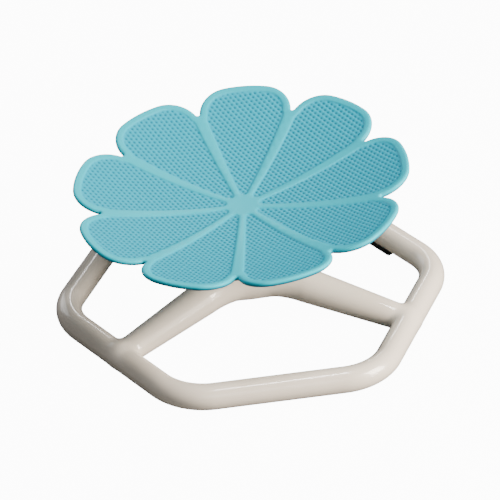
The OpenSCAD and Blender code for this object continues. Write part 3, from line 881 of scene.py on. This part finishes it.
def padTree():
    size = "NodeSocketFloat"
    tree, given, result = newTree("ribbedPads", "GeometryNodeTree", [
        ("Length", size, 0.07), ("Inner", size, 0.19), ("Outer", size, 0.2), ("Height", size, 0.01),
        ("Rounding", size, 0.001), ("Groove Step", size, 0.006), ("Groove Depth", size, 0.0007),
        ("Pocket Radius", size, 0.004), ("Pocket Depth", size, 0.002), ("Screw Spread", size, 0.02),
        ("Screw Line", size, 0.2), ("Material", "NodeSocketMaterial", None),
    ], [("Geometry", "NodeSocketGeometry")])
    wide = calc(tree, "SUBTRACT", given["Outer"], given["Inner"])
    whole = node(tree, "ShaderNodeCombineXYZ", {0: wide, 1: given["Length"], 2: given["Height"]}).outputs[0]
    block = node(tree, "GeometryNodeMeshCube", {
        "Size": whole, "Vertices X": 14, "Vertices Y": 98, "Vertices Z": 12}).outputs["Mesh"]
    place = node(tree, "GeometryNodeInputPosition").outputs[0]
    trim = node(tree, "ShaderNodeCombineXYZ", {k: given["Rounding"] for k in range(3)}).outputs[0]
    limit = vec(tree, "SUBTRACT", vec(tree, "SCALE", whole, scale=0.5), trim)
    core = vec(tree, "MINIMUM", vec(tree, "MAXIMUM", place, vec(tree, "SCALE", limit, scale=-1.0)), limit)
    ray = vec(tree, "NORMALIZE", vec(tree, "SUBTRACT", place, core))
    off = vec(tree, "SCALE", ray, scale=given["Rounding"])
    split = node(tree, "ShaderNodeSeparateXYZ", {0: place}).outputs
    wave = calc(tree, "PINGPONG", split[1], calc(tree, "MULTIPLY", given["Groove Step"], 0.5))
    groove = ramp(tree, wave, 0.0005, 0.0011, 1.0, 0.0)
    under = calc(tree, "LESS_THAN", split[2], calc(tree, "MULTIPLY", given["Height"], -0.49))
    depth = calc(tree, "MULTIPLY", calc(tree, "MULTIPLY", groove, under), given["Groove Depth"])
    lifted = node(tree, "ShaderNodeCombineXYZ", {2: depth}).outputs[0]
    to = vec(tree, "ADD", vec(tree, "ADD", core, off), lifted)
    shaped = node(tree, "GeometryNodeSetPosition", {"Geometry": block, "Position": to}).outputs[0]
    centre = calc(tree, "MULTIPLY", calc(tree, "ADD", given["Inner"], given["Outer"]), 0.5)
    shift = node(tree, "ShaderNodeCombineXYZ", {
        0: centre, 2: calc(tree, "MULTIPLY", given["Height"], 0.5)}).outputs[0]
    pad = node(tree, "GeometryNodeTransform", {"Geometry": shaped, "Translation": shift}).outputs[0]
    cut = node(tree, "GeometryNodeMeshBoolean", {"Mesh 1": pad}, operation="DIFFERENCE", solver="EXACT")
    for side in (-1, 1):
        plug = node(tree, "GeometryNodeMeshCylinder", {
            "Vertices": 32, "Radius": given["Pocket Radius"],
            "Depth": calc(tree, "MULTIPLY", given["Pocket Depth"], 2.0)}).outputs["Mesh"]
        aside = calc(tree, "MULTIPLY", given["Screw Spread"], float(side))
        at = node(tree, "ShaderNodeCombineXYZ", {0: given["Screw Line"], 1: aside}).outputs[0]
        moved = node(tree, "GeometryNodeTransform", {"Geometry": plug, "Translation": at}).outputs[0]
        tree.links.new(moved, cut.inputs["Mesh 2"])
    dots = node(tree, "GeometryNodePoints", {"Count": 4}).outputs[0]
    index = node(tree, "GeometryNodeInputIndex").outputs[0]
    # under the three arms' joints, and one midway at the rear
    turn = calc(tree, "MULTIPLY", calc(tree, "FLOORED_MODULO", index, 3.0), math.tau / 3)
    rear = calc(tree, "MULTIPLY", calc(tree, "GREATER_THAN", index, 2.5), math.pi)
    angle = calc(tree, "ADD", calc(tree, "ADD", turn, rear), -math.pi / 2)
    spin = node(tree, "ShaderNodeCombineXYZ", {2: angle}).outputs[0]
    holder = node(tree, "GeometryNodeGeometryToInstance", {0: cut.outputs[0]}).outputs[0]
    placed = node(tree, "GeometryNodeInstanceOnPoints", {
        "Points": dots, "Instance": holder, "Rotation": spin})
    closeTree(tree, placed.outputs[0], given["Material"], result["Geometry"])
    return tree


def makePads(p):
    source = addObject("padSource", meshFrom("padSource", [(0, 0, 0)], []))
    sizes = {
        "Length": "long", "Inner": "inner", "Outer": "outer", "Height": "tall", "Rounding": "round",
        "Groove Step": "grooveStep", "Groove Depth": "grooveDepth", "Pocket Radius": "pocket",
        "Pocket Depth": "pocketDeep", "Screw Spread": "screwAt", "Screw Line": "screwLine"}
    values = {label: p[key] * mm for label, key in sizes.items()}
    values["Material"] = blackRubber
    pads = runTree(source, padTree(), values, "footPads")
    pads.data.polygons.foreach_set("use_smooth", [True] * len(pads.data.polygons))
    pads.data.set_sharp_from_angle(angle=math.radians(35))
    return pads


footPads = makePads(footPad)
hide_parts("foot_pad_front", "foot_pad_right", "foot_pad_left", "foot_pad_rear")
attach(footPads, "base_frame")
print("pads made:", len(footPads.data.polygons), "faces")


# pieces carried over from the frame, with their own finishes
finishes = {
    "pad_screws": zincSteel, "upper_outer_race": bearingSteel,
    "upper_balls": bearingSteel, "upper_cage": turnedBrass, "upper_inner_race": bearingSteel,
    "lower_outer_race": bearingSteel, "lower_balls": bearingSteel, "lower_cage": turnedBrass,
    "lower_inner_race": bearingSteel, "retaining_ring": turnedSteel, "race_spacer": turnedSteel,
    "spindle": turnedSteel, "spindle_washer": zincSteel, "spindle_nut": zincSteel,
    "bottom_cap": blackPlastic, "dust_seal": blackRubber, "flange_plate": zincSteel,
    "flange_screws": zincSteel, "flange_washers": zincSteel, "seat_inserts": turnedBrass,
}
for name, material in finishes.items():
    for slot in frame["nodes"][name].material_slots:
        slot.material = material
print("finishes given")


viewSettings = {
    "azimuth": 51.68, "elevation": 34.32, "roll": -2.22, "lens": 239.112, "sensor": 36.0,
    "away": 4085.0, "right": -1.4, "up": 49.9, "target": 19.0,
}


def outFrom(azimuth, elevation):
    az, el = math.radians(azimuth), math.radians(elevation)
    return Vector((math.sin(az) * math.cos(el), -math.cos(az) * math.cos(el), math.sin(el)))


def makeCamera(v):
    back = outFrom(v["azimuth"], v["elevation"])
    roll = math.radians(v["roll"])
    flat = (-back).cross(Vector((0, 0, 1))).normalized()
    steep = flat.cross(-back)
    right = math.cos(roll) * flat + math.sin(roll) * steep
    up = math.cos(roll) * steep - math.sin(roll) * flat
    place = back * v["away"] + right * v["right"] + up * v["up"] + Vector((0, 0, v["target"]))
    turn = Matrix((right, up, back)).transposed().to_4x4()
    data = bpy.data.cameras.new("camera")
    data.sensor_width = v["sensor"]
    data.lens = v["lens"]
    data.clip_end = 50
    camera = addObject("camera", data)
    camera.matrix_world = Matrix.Translation(place * mm) @ turn
    bpy.context.scene.camera = camera


def makeLight(name, azimuth, elevation, away, size, power, tint=(1, 1, 1)):
    data = bpy.data.lights.new(name, "AREA")
    data.shape = "RECTANGLE"
    data.size, data.size_y = size
    data.energy = power
    data.color = tint
    lamp = addObject(name, data)
    direction = outFrom(azimuth, elevation)
    lamp.location = direction * away + Vector((0, 0, 0.05))
    lamp.rotation_euler = direction.to_track_quat("Z", "Y").to_euler()


def makeFloor(settings):
    size = 6.0
    low = -0.0002
    corners = [(-size, -size, low), (size, -size, low), (size, size, low), (-size, size, low)]
    floor = addObject("floor", meshFrom("floor", corners, [(0, 1, 2, 3)]))
    material = bpy.data.materials.new("paleFloor")
    material.use_nodes = True
    tree = material.node_tree
    shader = tree.nodes["Principled BSDF"]
    place = node(tree, "ShaderNodeTexCoord").outputs["Object"]
    noise = node(tree, "ShaderNodeTexNoise", {"Vector": place, "Scale": 30.0})
    put(tree, shader.inputs["Roughness"], ramp(tree, noise.outputs["Fac"], 0.3, 0.7, 0.75, 0.85))
    shader.inputs["Base Color"].default_value = (*[settings["albedo"]] * 3, 1)
    shader.inputs["Specular IOR Level"].default_value = 0.1
    # where the camera sees it, the floor glows up to near white
    seen = node(tree, "ShaderNodeLightPath").outputs["Is Camera Ray"]
    shader.inputs["Emission Color"].default_value = (1, 1, 1, 1)
    put(tree, shader.inputs["Emission Strength"], calc(tree, "MULTIPLY", seen, settings["glow"]))
    # from below it is clear, so the underside can be looked at
    behind = node(tree, "ShaderNodeNewGeometry").outputs["Backfacing"]
    put(tree, shader.inputs["Alpha"], calc(tree, "SUBTRACT", 1.0, behind))
    floor.data.materials.append(material)


def makeWorld(settings):
    world = bpy.data.worlds.new("studio")
    bpy.context.scene.world = world
    world.use_nodes = True
    tree = world.node_tree
    backdrop = tree.nodes["Background"]
    backdrop.inputs["Color"].default_value = (1, 1, 1, 1)
    seen = node(tree, "ShaderNodeLightPath").outputs["Is Camera Ray"]
    extra = settings["glow"] - settings["light"]
    put(tree, backdrop.inputs["Strength"], calc(tree, "MULTIPLY_ADD", seen, extra, settings["light"]))


makeCamera(viewSettings)
makeFloor({"albedo": 0.16, "glow": 12.0})
makeWorld({"light": 0.13, "glow": 12.0})
makeLight("keyLight", 118, 28, 2.2, (0.9, 1.2), 150, (1.0, 0.90, 0.78))
makeLight("fillLight", 58, 32, 2.6, (1.0, 1.0), 7, (0.86, 0.96, 1.0))
makeLight("farFill", 275, 22, 2.6, (1.2, 1.2), 12)
makeLight("lowStrip", 114, 5.5, 2.2, (0.9, 0.09), 12, (1.0, 0.93, 0.84))
makeLight("topStrip", 116, 80, 2.0, (0.5, 0.16), 15)
makeLight("backStrip", 232, 40, 2.2, (0.12, 1.2), 9)
print("camera and lights set")
